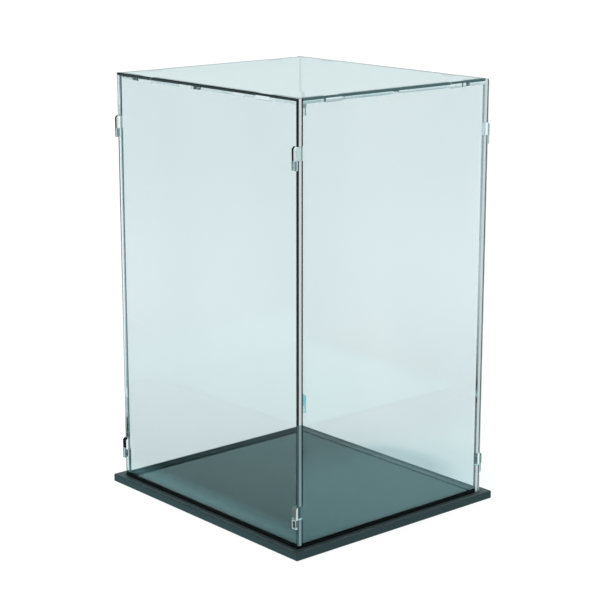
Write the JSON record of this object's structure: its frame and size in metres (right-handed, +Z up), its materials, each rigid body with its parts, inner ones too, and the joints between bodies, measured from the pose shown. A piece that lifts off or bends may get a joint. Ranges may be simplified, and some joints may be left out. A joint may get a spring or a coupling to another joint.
{
  "type": "display case",
  "caption": "Tall clear display case: flat acrylic panels hooked together at the corners, a drop-in top panel and a flat black base plate with a groove for the walls.",
  "frame": {"origin": "middle of the underside of the base plate", "axes": "+Z up, +X towards the right side panel, -Y towards the front panel"},
  "size_m": [0.152, 0.135, 0.221],
  "materials": {
    "black_acrylic": "polished black acrylic sheet",
    "clear_acrylic": "polished clear acrylic sheet with a faint blue-green tint"
  },
  "bodies": {
    "base": {"base_plate": "black_acrylic"},
    "walls": {"front_panel": "clear_acrylic", "back_panel": "clear_acrylic", "left_panel": "clear_acrylic", "right_panel": "clear_acrylic"},
    "top": {"top_panel": "clear_acrylic"}
  },
  "joints": [
    {"name": "cover_lift", "type": "slide", "parent": "base", "child": "walls", "axis": [0, 0, 1], "range_m": [0, 0.24]},
    {"name": "top_lift", "type": "slide", "parent": "walls", "child": "top", "axis": [0, 0, 1], "range_m": [0, 0.08]}
  ]
}
